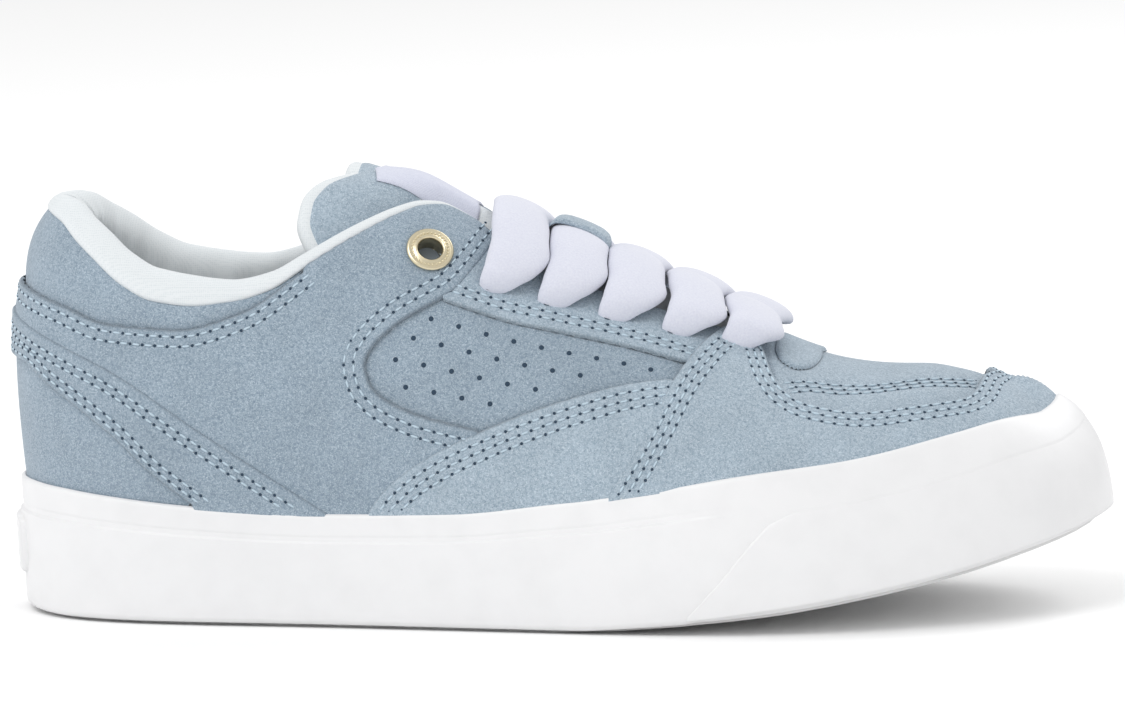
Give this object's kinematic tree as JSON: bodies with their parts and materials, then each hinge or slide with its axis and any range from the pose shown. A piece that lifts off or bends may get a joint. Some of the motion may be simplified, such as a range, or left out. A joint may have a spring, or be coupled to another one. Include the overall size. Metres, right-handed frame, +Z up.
{
  "type": "skateboarding shoe",
  "caption": "Low suede skate shoe for the right foot, empty and laced, with a padded collar and tongue and a white rubber side band that wraps up over the toe.",
  "frame": {"origin": "on the ground, under the middle of the shoe's box", "axes": "+X from heel to toe, +Y to the inner side of the right foot, +Z up"},
  "size_m": [0.289, 0.106, 0.117],
  "materials": {
    "suede": "napped suede",
    "suede_pale": "napped suede, a little lighter",
    "lining": "padded mesh",
    "rubber": "smooth satin",
    "tread": "matte, grooved",
    "webbing": "woven",
    "metal": "satin, pale",
    "foam": "cloth over foam"
  },
  "bodies": {
    "root": {"upper": "suede", "quarter_outer": "suede", "quarter_inner": "suede", "side_panel_outer": "suede", "side_panel_inner": "suede", "heel_strap": "suede", "heel_counter": "suede", "eyestay_outer": "suede_pale", "eyestay_inner": "suede_pale", "mudguard": "suede_pale", "throat_tab": "suede_pale", "tongue": "suede_pale", "lace_keeper": "suede_pale", "collar_padding": "lining", "insole": "foam", "foxing": "rubber", "toe_strip": "rubber", "heel_label": "rubber", "outsole": "tread", "tongue_label": "webbing", "lace_bar_1": "webbing", "lace_bar_2": "webbing", "lace_bar_3": "webbing", "lace_bar_4": "webbing", "lace_bar_5": "webbing", "eyelet_outer": "metal", "eyelet_inner": "metal"}
  },
  "joints": []
}
